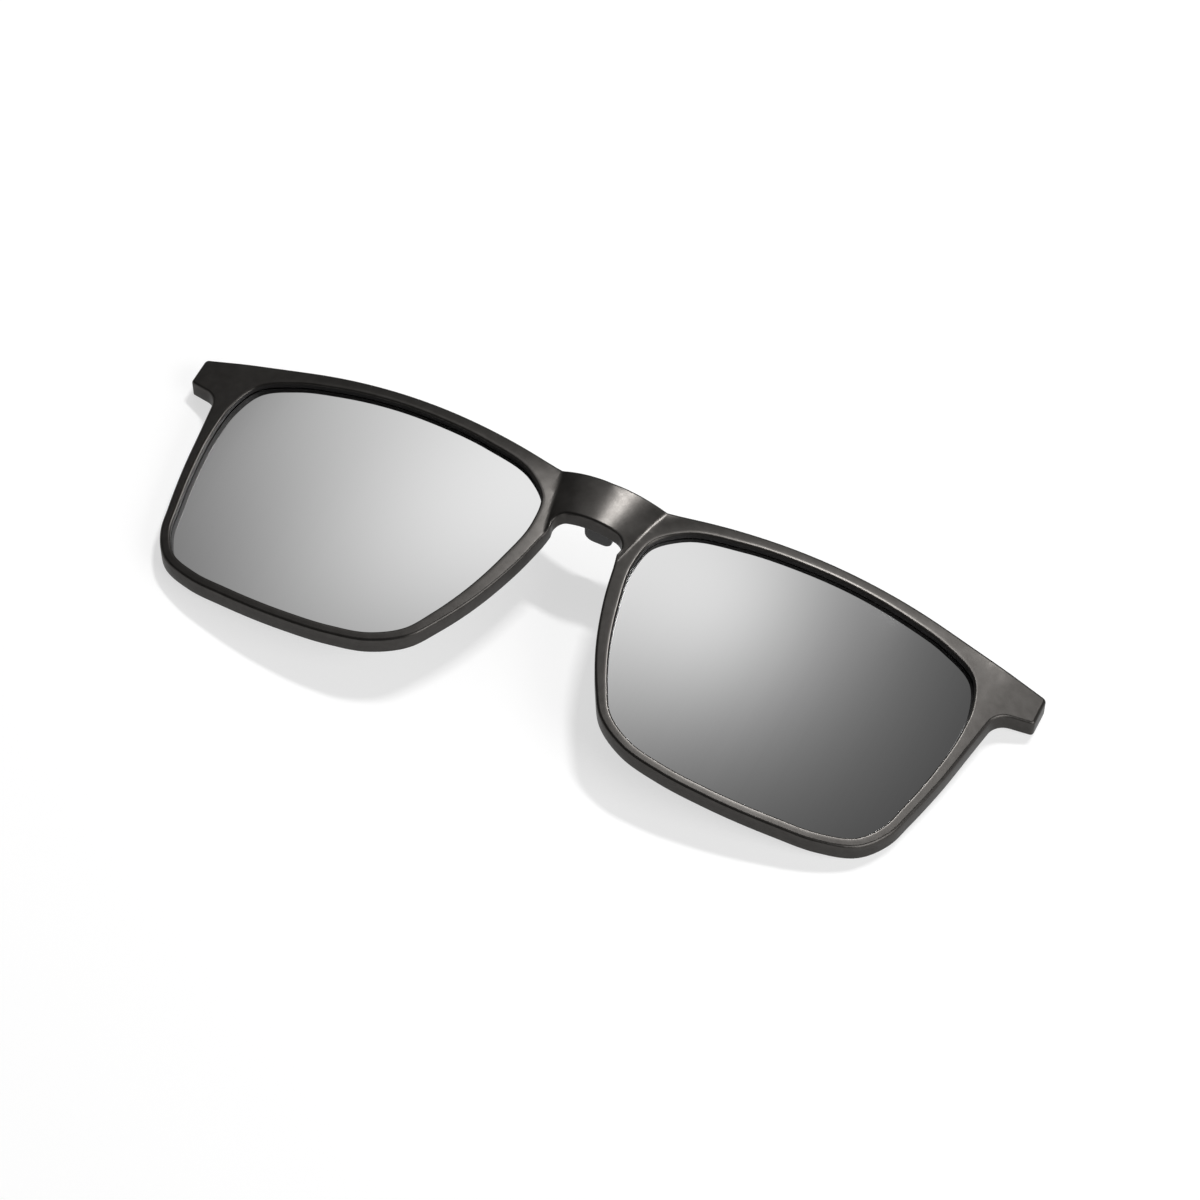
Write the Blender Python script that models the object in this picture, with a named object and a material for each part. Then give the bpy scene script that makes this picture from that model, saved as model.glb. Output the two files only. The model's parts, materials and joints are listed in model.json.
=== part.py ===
"""Magnetic clip-on sunglass front, lying on its back on a table, in metres.

The front is drawn flat in X and Y, with the brow towards +Y and its front face at z = 0. It is then
wrapped round the face, bowed forward at the bridge, and laid down so that it rests on its ends and rims.
"""

import math

import bmesh
import bpy
from mathutils import Matrix, Vector

# Lens openings
OPENING_WIDTH = 0.0550
OPENING_HEIGHT = 0.0424
BRIDGE_GAP = 0.0168
# Points round one opening, anticlockwise from the temple side, as shares of its half width and half height.
# The third number is the rim's width there as a share of the bottom rim's.
EYEWIRE_SHARES = (
    (1.000, 0.364, 1.55),
    (0.991, 0.577, 1.55),
    (0.922, 0.798, 1.70),
    (0.716, 0.919, 1.90),
    (0.477, 0.971, 1.65),
    (0.145, 1.000, 1.50),
    (-0.189, 0.981, 1.55),
    (-0.516, 0.924, 1.68),
    (-0.838, 0.799, 2.00),
    (-0.973, 0.628, 2.14),
    (-1.000, 0.414, 2.02),
    (-0.956, 0.047, 1.64),
    (-0.841, -0.430, 1.32),
    (-0.779, -0.602, 1.20),
    (-0.692, -0.791, 1.10),
    (-0.526, -0.931, 1.02),
    (-0.307, -0.988, 1.00),
    (-0.036, -1.000, 1.00),
    (0.357, -0.961, 1.00),
    (0.580, -0.912, 1.00),
    (0.772, -0.800, 1.00),
    (0.871, -0.609, 1.02),
    (0.910, -0.414, 1.05),
    (0.964, -0.076, 1.14),
)
BROW_POINTS = (7, 6, 5, 4, 3)
LOWER_RIM_POINTS = (0, 23, 22, 21, 20, 19, 18, 17, 16, 15, 14, 13, 12, 11, 10)
NASAL_CORNER_POINT = 10
OUTLINE_STEPS = 3

# Front
FRONT_THICKNESS = 0.00325
RIM_WIDTH = 0.0014
FRONT_EDGE_RADIUS = 0.0003
BACK_EDGE_RADIUS = 0.00015
EDGE_SEGMENTS = 2
SHARP_ANGLE = math.radians(60)
SMOOTH_ANGLE = math.radians(30)
FLAT_ANGLE = math.radians(0.1)
WRAP_RADIUS = 0.2228
WRAP_START = 0.0049
WRAP_STEP = 0.0040

# End pieces
END_REACH = 0.0086
END_TOP_DROP = 0.00125
END_HEIGHT = 0.0049
END_CORNER_RADIUS = 0.0007
END_UNDERCUT = 0.0016
END_FILLET_RADIUS = 0.0035
CORNER_STEPS = 5

# Bridge, with a crease on each side where it springs from the rims
BRIDGE_TOP_DROP = 0.0019
BRIDGE_BOW = 0.0020
ARCH_RISE = 0.0028
ARCH_FLARE = 0.0002
ARCH_RADIUS = 0.0017
CREASE_TOP_DROP = 0.00155
CREASE_TOP_OUTSET = 0.0005
CREASE_FOOT_OUTSET = 0.0012
BOW_STEP = 0.0013
BOW_ROWS = 3

# Lenses, held by a groove behind which a lip is left
LENS_THICKNESS = 0.0007
LENS_GAP = 0.00015
GROOVE_DEPTH = 0.0006
LIP_THICKNESS = 0.00115

# Magnets and their caps, with a wall left in front of them
MAGNET_DIAMETER = 0.0030
MAGNET_INSET = 0.0034
CAP_THICKNESS = 0.0005
END_WALL = 0.00075
FIT_GAP = 0.0003
ROUND_SIDES = 32

# Bridge hook: a tongue, and a thinner tenon that is bonded into a slot in the bridge
HOOK_WIDTH = 0.0046
HOOK_THICKNESS = 0.0012
HOOK_REACH = 0.0061
HOOK_LIFT = 0.0022
HOOK_TIP_RADIUS = 0.0015
HOOK_EDGE_RADIUS = 0.0002
TENON_LENGTH = 0.0010
TENON_SHOULDER = 0.0003

CUT_OVERRUN = 0.0010
WELD_DISTANCE = 0.000001
REST_PASSES = 8

HALF_WIDTH = OPENING_WIDTH / 2
HALF_HEIGHT = OPENING_HEIGHT / 2
OPENING_CENTRE = BRIDGE_GAP / 2 + HALF_WIDTH
END_X = BRIDGE_GAP / 2 + OPENING_WIDTH + END_REACH
END_TOP = HALF_HEIGHT - END_TOP_DROP
END_BOTTOM = END_TOP - END_HEIGHT
NASAL_CORNER_SHARES = EYEWIRE_SHARES[NASAL_CORNER_POINT]
NASAL_CORNER_HALF = BRIDGE_GAP / 2 - RIM_WIDTH * NASAL_CORNER_SHARES[2]
BRIDGE_TOP = HALF_HEIGHT - BRIDGE_TOP_DROP
BRIDGE_FOOT = HALF_HEIGHT * NASAL_CORNER_SHARES[1] + ARCH_RISE
ARCH_HALF_WIDTH = NASAL_CORNER_HALF + ARCH_FLARE
CREASE_TOP = HALF_HEIGHT - CREASE_TOP_DROP
CREASE_TOP_HALF = BRIDGE_GAP / 2 + CREASE_TOP_OUTSET
CREASE_FOOT_HALF = ARCH_HALF_WIDTH + CREASE_FOOT_OUTSET
LENS_RECESS = FRONT_THICKNESS - LIP_THICKNESS - LENS_GAP - LENS_THICKNESS
MAGNET_THICKNESS = FRONT_THICKNESS - END_WALL - CAP_THICKNESS - 2 * FIT_GAP
MAGNET_X = END_X - MAGNET_INSET
MAGNET_Y = (END_TOP + END_BOTTOM) / 2
MAGNET_BORE_RADIUS = MAGNET_DIAMETER / 2 + FIT_GAP
END_FLAT_X = MAGNET_X - MAGNET_BORE_RADIUS - END_CORNER_RADIUS
END_SLOPE = (END_FLAT_X - WRAP_START) / WRAP_RADIUS


def smooth_line(points, steps, closed):
    """A smooth line through the points, with their spacing taken into account."""
    count = len(points)
    line = []
    for i in range(count if closed else count - 1):
        if closed:
            before, start, end, after = (points[(i + k - 1) % count] for k in range(4))
        else:
            start, end = points[i], points[i + 1]
            before = points[i - 1] if i > 0 else start - (end - start)
            after = points[i + 2] if i + 2 < count else end + (end - start)
        span_before = (start - before).length
        span = (end - start).length
        span_after = (after - end).length
        along = (end - start) / span
        leave = (start - before) / span_before - (end - before) / (span_before + span) + along
        arrive = along - (after - start) / (span + span_after) + (after - end) / span_after
        for step in range(steps):
            t = step / steps
            line.append(
                start * (2 * t**3 - 3 * t**2 + 1)
                + end * (3 * t**2 - 2 * t**3)
                + leave * span * (t**3 - 2 * t**2 + t)
                + arrive * span * (t**3 - t**2)
            )
    if not closed:
        line.append(points[-1])
    return line


def outward_normals(line):
    """Unit normals of a closed line that runs anticlockwise, pointing out of it."""
    normals = []
    for i in range(len(line)):
        along = line[(i + 1) % len(line)] - line[i - 1]
        normals.append(Vector((along.y, -along.x)).normalized())
    return normals


def opening_line(grow):
    """The opening of the right lens, grown outwards by a length."""
    points = [
        Vector((OPENING_CENTRE + HALF_WIDTH * across, HALF_HEIGHT * up)) for across, up, _ in EYEWIRE_SHARES
    ]
    line = smooth_line(points, OUTLINE_STEPS, closed=True)
    return [point + normal * grow for point, normal in zip(line, outward_normals(line))]


def rim_points(indices):
    """Where the outside of the rim lies, beside the numbered points of the opening."""
    line = opening_line(0)
    normals = outward_normals(line)
    found = []
    for index in indices:
        place = index * OUTLINE_STEPS
        found.append(line[place] + normals[place] * RIM_WIDTH * EYEWIRE_SHARES[index][2])
    return found


def rounded_corner(before, corner, after, radius):
    """Points of the arc that rounds off a corner between two straight runs."""
    towards_before = (before - corner).normalized()
    towards_after = (after - corner).normalized()
    half_angle = towards_before.angle(towards_after) / 2
    bisector = (towards_before + towards_after).normalized()
    centre = corner + bisector * radius / math.sin(half_angle)
    reach = radius / math.tan(half_angle)
    start = corner + towards_before * reach - centre
    end = corner + towards_after * reach - centre
    turn = -start.angle_signed(end)
    return [centre + Matrix.Rotation(turn * k / CORNER_STEPS, 2) @ start for k in range(CORNER_STEPS + 1)]


def mirrored(line):
    return [Vector((-point.x, point.y)) for point in reversed(line)]


def front_line():
    """The outside of the whole front: half of it, from the bridge's top round to its arch, and its mirror."""
    crease_top = Vector((CREASE_TOP_HALF, CREASE_TOP))
    top_corner = Vector((END_X, END_TOP))
    bottom_corner = Vector((END_X, END_BOTTOM))
    lower_rim = rim_points(LOWER_RIM_POINTS)
    rise = (lower_rim[0] - lower_rim[1]).normalized()
    throat_y = END_BOTTOM - END_UNDERCUT
    throat = lower_rim[0] + rise * (throat_y - lower_rim[0].y) / rise.y
    brow = smooth_line([crease_top, *rim_points(BROW_POINTS), top_corner], OUTLINE_STEPS, closed=False)
    end_face = rounded_corner(brow[-2], top_corner, bottom_corner, END_CORNER_RADIUS)
    end_face += rounded_corner(top_corner, bottom_corner, throat, END_CORNER_RADIUS)
    fillet = rounded_corner(bottom_corner, throat, lower_rim[0], END_FILLET_RADIUS)
    rim = smooth_line(lower_rim, OUTLINE_STEPS, closed=False)
    arch_corner = Vector((ARCH_HALF_WIDTH, BRIDGE_FOOT))
    arch_foot = Vector((ARCH_HALF_WIDTH, rim[-1].y))
    arch_middle = Vector((0, BRIDGE_FOOT))
    arch = rounded_corner(arch_foot, arch_corner, arch_middle, ARCH_RADIUS)
    half = brow[:-1] + end_face + fillet + rim + arch
    return [Vector((0, BRIDGE_TOP)), *half, arch_middle, *mirrored(half)]


def wrap_height(x):
    """How high the front face lies where it wraps round the face. The end pieces are flat."""
    curved = min(max(0, abs(x) - WRAP_START), END_FLAT_X - WRAP_START)
    straight = max(0, abs(x) - END_FLAT_X)
    return -(curved**2) / (2 * WRAP_RADIUS) - straight * END_SLOPE


def crease_half(y):
    """Half the width between the two creases where the bridge springs from the rims."""
    share = (y - BRIDGE_FOOT) / (CREASE_TOP - BRIDGE_FOOT)
    return CREASE_FOOT_HALF + (CREASE_TOP_HALF - CREASE_FOOT_HALF) * share


def front_height(x, y):
    """The height of the front face, with the bridge bowed forward between its creases."""
    bow_share = max(0, 1 - (x / crease_half(max(0, y))) ** 2)
    return wrap_height(x) + BRIDGE_BOW * bow_share


def lens_height(x, y):
    """The lenses and their grooves follow the wrap alone, whatever their place in Y."""
    return wrap_height(x)


def evaluated_mesh(part):
    """The object's mesh with its modifiers, or a curve's filled shape."""
    bpy.context.view_layer.update()
    return bpy.data.meshes.new_from_object(part.evaluated_get(bpy.context.evaluated_depsgraph_get()))


def plate(name, lines, bottom, top):
    """A flat plate from closed lines, the first its outside and the others its openings."""
    curve = bpy.data.curves.new(name, "CURVE")
    curve.dimensions = "2D"
    curve.fill_mode = "BOTH"
    curve.extrude = (top - bottom) / 2
    for line in lines:
        spline = curve.splines.new("POLY")
        spline.points.add(len(line) - 1)
        for point, place in zip(spline.points, line):
            point.co = (place.x, place.y, 0, 1)
        spline.use_cyclic_u = True
    drawn = bpy.data.objects.new(name + "_outline", curve)
    bpy.context.scene.collection.objects.link(drawn)
    drawn.location.z = (top + bottom) / 2
    mesh = evaluated_mesh(drawn)
    mesh.transform(drawn.matrix_world)
    mesh.name = name
    bpy.data.objects.remove(drawn)
    bpy.data.curves.remove(curve)
    shape = bmesh.new()
    shape.from_mesh(mesh)
    bmesh.ops.remove_doubles(shape, verts=shape.verts, dist=WELD_DISTANCE)
    bmesh.ops.recalc_face_normals(shape, faces=shape.faces)
    bmesh.ops.dissolve_limit(shape, angle_limit=FLAT_ANGLE, verts=shape.verts, edges=shape.edges)
    shape.to_mesh(mesh)
    shape.free()
    return mesh


def round_edges(mesh, radius, height):
    """Rounds off the sharp edges that lie at a height."""
    shape = bmesh.new()
    shape.from_mesh(mesh)
    edges = [
        edge
        for edge in shape.edges
        if edge.calc_face_angle(0) > SHARP_ANGLE
        and all(abs(vert.co.z - height) < WELD_DISTANCE for vert in edge.verts)
    ]
    bmesh.ops.bevel(
        shape,
        geom=edges,
        offset=radius,
        offset_type="OFFSET",
        segments=EDGE_SEGMENTS,
        profile=0.5,
        affect="EDGES",
    )
    shape.to_mesh(mesh)
    shape.free()


def add_part(name, mesh, collection, material=None):
    part = bpy.data.objects.new(name, mesh)
    collection.objects.link(part)
    if material:
        mesh.materials.clear()
        mesh.materials.append(material)
    return part


def combine(part, other, operation):
    """Cuts the other shape out of the part, or joins it on, and keeps the other shape as a guide."""
    other.hide_render = True
    other.display_type = "WIRE"
    boolean = part.modifiers.new(other.name, "BOOLEAN")
    boolean.operation = operation
    boolean.solver = "EXACT"
    boolean.object = other
    uncut_mesh = part.data
    cut_mesh = evaluated_mesh(part)
    part.modifiers.clear()
    part.data = cut_mesh
    bpy.data.meshes.remove(uncut_mesh)
    cut_mesh.name = part.name


def slice_across(shape, place, normal, geometry=None):
    bmesh.ops.bisect_plane(
        shape,
        geom=geometry or shape.verts[:] + shape.edges[:] + shape.faces[:],
        dist=WELD_DISTANCE,
        plane_co=place,
        plane_no=normal,
    )


def slice_wrap(shape):
    """Slices the shape across, so that it can follow the wrap."""
    count = math.ceil((END_FLAT_X - CREASE_TOP_HALF) / WRAP_STEP)
    for k in range(count + 1):
        x = CREASE_TOP_HALF + (END_FLAT_X - CREASE_TOP_HALF) * k / count
        for side in (-1, 1):
            slice_across(shape, Vector((side * x, 0, 0)), Vector((1, 0, 0)))


def slice_bridge(shape):
    """Slices the bridge, so that it can bow forward from its two creases."""
    lean = CREASE_TOP_HALF - CREASE_FOOT_HALF
    for side in (-1, 1):
        foot = Vector((side * CREASE_FOOT_HALF, BRIDGE_FOOT, 0))
        slice_across(shape, foot, Vector((CREASE_TOP - BRIDGE_FOOT, -side * lean, 0)))
    count = math.ceil(2 * CREASE_TOP_HALF / BOW_STEP)
    for k in range(1, count):
        slice_across(shape, Vector((CREASE_TOP_HALF * (2 * k / count - 1), 0, 0)), Vector((1, 0, 0)))
    for k in range(1, BOW_ROWS + 1):
        faces = [
            face for face in shape.faces if all(abs(vert.co.x) < CREASE_TOP_HALF for vert in face.verts)
        ]
        edges = {edge for face in faces for edge in face.edges}
        verts = {vert for face in faces for vert in face.verts}
        height = BRIDGE_FOOT + (BRIDGE_TOP - BRIDGE_FOOT) * k / (BOW_ROWS + 1)
        slice_across(shape, Vector((0, height, 0)), Vector((0, 1, 0)), [*verts, *edges, *faces])


def bend(mesh, height, slicers):
    """Bends a flat mesh: slices it, and lifts each point by the height at its place."""
    shape = bmesh.new()
    shape.from_mesh(mesh)
    for slicer in slicers:
        slicer(shape)
    bmesh.ops.triangulate(shape, faces=shape.faces)
    for vert in shape.verts:
        vert.co.z += height(vert.co.x, vert.co.y)
    shape.to_mesh(mesh)
    shape.free()


def paint(name, colour, metallic, roughness):
    material = bpy.data.materials.new(name)
    material.use_nodes = True
    shader = material.node_tree.nodes["Principled BSDF"]
    shader.inputs["Base Color"].default_value = (*colour, 1)
    shader.inputs["Metallic"].default_value = metallic
    shader.inputs["Roughness"].default_value = roughness
    return material


def make_front(parts, cutters):
    """The moulded front: two rims, the bridge and the end pieces, with a groove round each opening."""
    openings = [opening_line(0), mirrored(opening_line(0))]
    mesh = plate("front_frame", [front_line(), *openings], -FRONT_THICKNESS, 0)
    round_edges(mesh, FRONT_EDGE_RADIUS, 0)
    round_edges(mesh, BACK_EDGE_RADIUS, -FRONT_THICKNESS)
    lacquer = paint("gunmetal_lacquer", (0.085, 0.082, 0.078), 0.9, 0.36)
    front = add_part("front_frame", mesh, parts)
    groove_top = -LENS_RECESS + LENS_GAP
    groove_bottom = -LENS_RECESS - LENS_THICKNESS - LENS_GAP
    for name, turn in (("right", list), ("left", mirrored)):
        line = turn(opening_line(GROOVE_DEPTH))
        groove = add_part("groove_" + name, plate("groove", [line], groove_bottom, groove_top), cutters)
        combine(front, groove, "DIFFERENCE")
        bend(groove.data, lens_height, (slice_wrap,))
    bend(front.data, front_height, (slice_wrap, slice_bridge))
    front.data.materials.clear()
    front.data.materials.append(lacquer)
    return front


def make_lenses(parts):
    """Thin curved lenses, sprung into the grooves."""
    mirror_coat = paint("mirror_coated_lens", (0.42, 0.42, 0.42), 0.85, 0.06)
    for name, turn in (("right", list), ("left", mirrored)):
        line = turn(opening_line(GROOVE_DEPTH - LENS_GAP))
        mesh = plate("lens_" + name, [line], -LENS_RECESS - LENS_THICKNESS, -LENS_RECESS)
        bend(mesh, lens_height, (slice_wrap,))
        add_part("lens_" + name, mesh, parts, mirror_coat)


def disc(name, side, radius, start, length):
    """A short cylinder, set into the back of an end piece square to it, from a depth inwards."""
    inwards = Vector((side * END_SLOPE, 0, 1)).normalized()
    back = Vector((side * MAGNET_X, MAGNET_Y, wrap_height(MAGNET_X) - FRONT_THICKNESS))
    middle = back + inwards * (start + length / 2)
    turn = Vector((0, 0, 1)).rotation_difference(inwards).to_matrix().to_4x4()
    shape = bmesh.new()
    bmesh.ops.create_cone(
        shape,
        cap_ends=True,
        segments=ROUND_SIDES,
        radius1=radius,
        radius2=radius,
        depth=length,
        matrix=Matrix.Translation(middle) @ turn,
    )
    mesh = bpy.data.meshes.new(name)
    shape.to_mesh(mesh)
    shape.free()
    mesh.shade_smooth()
    mesh.set_sharp_from_angle(angle=SMOOTH_ANGLE)
    return mesh


def make_magnets(front, parts, cutters):
    """A disc magnet in a blind bore in the back of each end piece, closed by a cap that lies flush."""
    nickel = paint("nickel_plate", (0.62, 0.60, 0.57), 1.0, 0.2)
    cap_plastic = paint("cap_plastic", (0.03, 0.03, 0.03), 0.0, 0.45)
    magnet_start = CAP_THICKNESS + FIT_GAP
    bore_end = magnet_start + MAGNET_THICKNESS + FIT_GAP
    for name, side in (("right", 1), ("left", -1)):
        bore_mesh = disc("bore", side, MAGNET_BORE_RADIUS, -CUT_OVERRUN, bore_end + CUT_OVERRUN)
        combine(front, add_part("magnet_bore_" + name, bore_mesh, cutters), "DIFFERENCE")
        cap_mesh = disc("cap", side, MAGNET_DIAMETER / 2, 0, CAP_THICKNESS)
        add_part("magnet_cap_" + name, cap_mesh, parts, cap_plastic)
        magnet_mesh = disc("magnet", side, MAGNET_DIAMETER / 2, magnet_start, MAGNET_THICKNESS)
        add_part("magnet_" + name, magnet_mesh, parts, nickel)


def upright_bar(name, half, front, tip, low, thickness, tip_radius=0):
    """A flat bar drawn in X and Z and given its thickness upwards along Y, with round corners at its tip."""
    corners = [Vector((half, front)), Vector((half, tip)), Vector((-half, tip)), Vector((-half, front))]
    line = list(corners)
    if tip_radius:
        line[1:3] = rounded_corner(*corners[:3], tip_radius) + rounded_corner(*corners[1:], tip_radius)
    mesh = plate(name, [line], -low - thickness, -low)
    if tip_radius:
        round_edges(mesh, HOOK_EDGE_RADIUS, -low - thickness)
        round_edges(mesh, HOOK_EDGE_RADIUS, -low)
    mesh.transform(Matrix.Rotation(math.pi / 2, 4, "X"))
    return mesh


def make_hook(front, parts, cutters):
    """The tongue behind the bridge that rests on top of the bridge of the glasses."""
    half = HOOK_WIDTH / 2
    low = BRIDGE_FOOT + HOOK_LIFT
    seat = front_height(half, low) - FRONT_THICKNESS
    tip = seat - HOOK_REACH
    tongue = upright_bar("bridge_hook", half, seat - FIT_GAP, tip, low, HOOK_THICKNESS, HOOK_TIP_RADIUS)
    tenon_half = half - TENON_SHOULDER
    tenon_low = low + TENON_SHOULDER
    tenon_thickness = HOOK_THICKNESS - 2 * TENON_SHOULDER
    tenon_end = seat + TENON_LENGTH
    tenon = upright_bar("tenon", tenon_half, tenon_end, seat - CUT_OVERRUN, tenon_low, tenon_thickness)
    slot = upright_bar(
        "hook_slot",
        tenon_half + FIT_GAP,
        tenon_end + FIT_GAP,
        seat - CUT_OVERRUN,
        tenon_low - FIT_GAP,
        tenon_thickness + 2 * FIT_GAP,
    )
    nylon = paint("hook_nylon", (0.022, 0.021, 0.021), 0.0, 0.42)
    hook = add_part("bridge_hook", tongue, parts, nylon)
    combine(hook, add_part("hook_tenon", tenon, cutters, nylon), "UNION")
    combine(front, add_part("hook_slot", slot, cutters), "DIFFERENCE")


def lay_down(front, collections):
    """Turns everything about X until the front rests on its ends and its lower rims, over the origin."""
    tilt = 0.0
    for _ in range(REST_PASSES):
        points = [Matrix.Rotation(tilt, 3, "X") @ vert.co for vert in front.data.vertices]
        brow_low = min((point for point in points if point.y > 0), key=lambda point: point.z)
        chin_low = min((point for point in points if point.y < 0), key=lambda point: point.z)
        tilt -= math.atan2(brow_low.z - chin_low.z, brow_low.y - chin_low.y)
    points = [Matrix.Rotation(tilt, 3, "X") @ vert.co for vert in front.data.vertices]
    depths = [point.y for point in points]
    rest = bpy.data.objects.new("resting_place", None)
    bpy.context.scene.collection.objects.link(rest)
    rest.rotation_euler.x = tilt
    rest.location = (0, -(max(depths) + min(depths)) / 2, -min(point.z for point in points))
    for collection in collections:
        for part in collection.objects:
            part.parent = rest


for old in list(bpy.data.objects):
    bpy.data.objects.remove(old, do_unlink=True)
clip_on = bpy.data.collections.new("magnetic_clip_on_sunglasses")
cutting_shapes = bpy.data.collections.new("cutting_shapes")
for group in (clip_on, cutting_shapes):
    bpy.context.scene.collection.children.link(group)
front_frame = make_front(clip_on, cutting_shapes)
make_lenses(clip_on)
make_magnets(front_frame, clip_on, cutting_shapes)
make_hook(front_frame, clip_on, cutting_shapes)
front_frame.data.shade_smooth()
front_frame.data.set_sharp_from_angle(angle=SMOOTH_ANGLE)
lay_down(front_frame, (clip_on, cutting_shapes))
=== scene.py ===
import json
import math

import bpy
from mathutils import Matrix, Vector, kdtree


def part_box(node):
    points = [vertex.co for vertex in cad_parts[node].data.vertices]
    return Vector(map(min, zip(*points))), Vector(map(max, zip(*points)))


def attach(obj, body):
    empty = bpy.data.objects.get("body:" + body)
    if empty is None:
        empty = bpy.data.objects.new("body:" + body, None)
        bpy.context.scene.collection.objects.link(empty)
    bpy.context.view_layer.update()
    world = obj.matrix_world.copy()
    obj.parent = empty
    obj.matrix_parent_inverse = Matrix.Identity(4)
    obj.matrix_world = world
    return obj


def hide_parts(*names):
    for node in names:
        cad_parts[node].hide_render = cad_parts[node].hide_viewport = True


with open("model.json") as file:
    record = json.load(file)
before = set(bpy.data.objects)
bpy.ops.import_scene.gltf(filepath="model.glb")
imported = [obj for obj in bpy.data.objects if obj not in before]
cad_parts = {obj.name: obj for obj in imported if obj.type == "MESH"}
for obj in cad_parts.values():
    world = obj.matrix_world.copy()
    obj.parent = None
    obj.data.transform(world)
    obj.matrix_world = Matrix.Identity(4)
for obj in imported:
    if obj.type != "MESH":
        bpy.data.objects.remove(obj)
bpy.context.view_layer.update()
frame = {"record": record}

# Front frame
# The clip-on's one structural piece, injection moulded in glass-filled nylon: two rims that slope from a soft
# ridge round each opening, the bowed bridge between its creases, and a flat end piece at each temple. It is
# drawn flat, cut out, given its edges and lens grooves, and wrapped and bowed to the shape of its mould.
mounts = {mount["name"]: mount for mount in frame["record"]["mounts"]}
hook_axis = mounts["hook_seat"]["axis"]
rest_tilt = math.atan2(-hook_axis[2], -hook_axis[1])
half_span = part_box("front_frame")[1][0]
end_reach = 0.0086
opening_width = 0.0550
opening_height = 0.04238
opening_left = half_span - end_reach - opening_width
opening_centre = Vector((opening_left + opening_width / 2, 0))
front_thickness = 0.00325
rim_width = 0.0014
# Across and up as shares of the opening's half width and half height, and the rim's width as a share of the
# bottom rim's, anticlockwise from the temple side
eyewire_shares = (
    (1.000, 0.364, 1.55),
    (0.991, 0.577, 1.55),
    (0.922, 0.798, 1.70),
    (0.716, 0.919, 1.90),
    (0.477, 0.971, 1.65),
    (0.145, 1.000, 1.50),
    (-0.189, 0.981, 1.55),
    (-0.516, 0.924, 1.68),
    (-0.838, 0.799, 2.00),
    (-0.973, 0.628, 2.14),
    (-1.000, 0.414, 2.02),
    (-0.956, 0.047, 1.64),
    (-0.841, -0.430, 1.32),
    (-0.779, -0.602, 1.20),
    (-0.692, -0.791, 1.10),
    (-0.526, -0.931, 1.02),
    (-0.307, -0.988, 1.00),
    (-0.036, -1.000, 1.00),
    (0.357, -0.961, 1.00),
    (0.580, -0.912, 1.00),
    (0.772, -0.800, 1.00),
    (0.871, -0.609, 1.02),
    (0.910, -0.414, 1.05),
    (0.964, -0.076, 1.14),
)
brow_points = (7, 6, 5, 4, 3)
lower_rim_points = (0, 23, 22, 21, 20, 19, 18, 17, 16, 15, 14, 13, 12, 11, 10)
nasal_corner_point = 10
line_steps = 8


def smooth_line(points, closed):
    """A smooth line through the points, with their spacing taken into account."""
    count = len(points)
    line = []
    for i in range(count if closed else count - 1):
        if closed:
            before, start, end, after = (points[(i + k - 1) % count] for k in range(4))
        else:
            start, end = points[i], points[i + 1]
            before = points[i - 1] if i > 0 else start - (end - start)
            after = points[i + 2] if i + 2 < count else end + (end - start)
        span_before = (start - before).length
        span = (end - start).length
        span_after = (after - end).length
        along = (end - start) / span
        leave = (start - before) / span_before - (end - before) / (span_before + span) + along
        arrive = along - (after - start) / (span + span_after) + (after - end) / span_after
        for step in range(line_steps):
            t = step / line_steps
            line.append(
                start * (2 * t**3 - 3 * t**2 + 1)
                + end * (3 * t**2 - 2 * t**3)
                + leave * span * (t**3 - 2 * t**2 + t)
                + arrive * span * (t**3 - t**2)
            )
    if not closed:
        line.append(points[-1])
    return line


def outward_normals(line):
    normals = []
    for i in range(len(line)):
        along = line[(i + 1) % len(line)] - line[i - 1]
        normals.append(Vector((along.y, -along.x)).normalized())
    return normals


def opening_line(grow):
    """The right lens opening, grown outwards by a length."""
    half = Vector((opening_width / 2, opening_height / 2))
    points = [opening_centre + Vector((across * half.x, up * half.y)) for across, up, _ in eyewire_shares]
    line = smooth_line(points, closed=True)
    return [point + normal * grow for point, normal in zip(line, outward_normals(line))]


def rim_points(indices):
    """Where the outside of the rim lies, beside the numbered points of the opening."""
    line = opening_line(0)
    normals = outward_normals(line)
    places = [index * line_steps for index in indices]
    widths = [rim_width * eyewire_shares[index][2] for index in indices]
    return [line[place] + normals[place] * width for place, width in zip(places, widths)]


def rounded_corner(before, corner, after, radius, steps):
    towards_before = (before - corner).normalized()
    towards_after = (after - corner).normalized()
    half_angle = towards_before.angle(towards_after) / 2
    centre = corner + (towards_before + towards_after).normalized() * radius / math.sin(half_angle)
    reach = radius / math.tan(half_angle)
    start = corner + towards_before * reach - centre
    end = corner + towards_after * reach - centre
    turn = -start.angle_signed(end)
    return [centre + Matrix.Rotation(turn * k / steps, 2) @ start for k in range(steps + 1)]


def mirrored(line):
    return [Vector((-point.x, point.y)) for point in reversed(line)]


half_height = opening_height / 2
end_top_drop = 0.00124
end_height = 0.0049
end_corner_radius = 0.0007
end_corner_steps = 8
end_undercut = 0.0016
end_fillet_radius = 0.0035
end_fillet_steps = 14
end_top = half_height - end_top_drop
end_bottom = end_top - end_height
bridge_top_drop = 0.0019
bridge_top = half_height - bridge_top_drop
nasal_corner = eyewire_shares[nasal_corner_point]
arch_rise = 0.0028
arch_flare = 0.0002
arch_radius = 0.0017
arch_steps = 12
bridge_foot = half_height * nasal_corner[1] + arch_rise
arch_half_width = opening_left - rim_width * nasal_corner[2] + arch_flare
crease_top_drop = 0.00155
crease_top_outset = 0.0005
crease_foot_outset = 0.0012
crease_top = half_height - crease_top_drop
crease_top_half = opening_left + crease_top_outset
crease_foot_half = arch_half_width + crease_foot_outset


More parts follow.
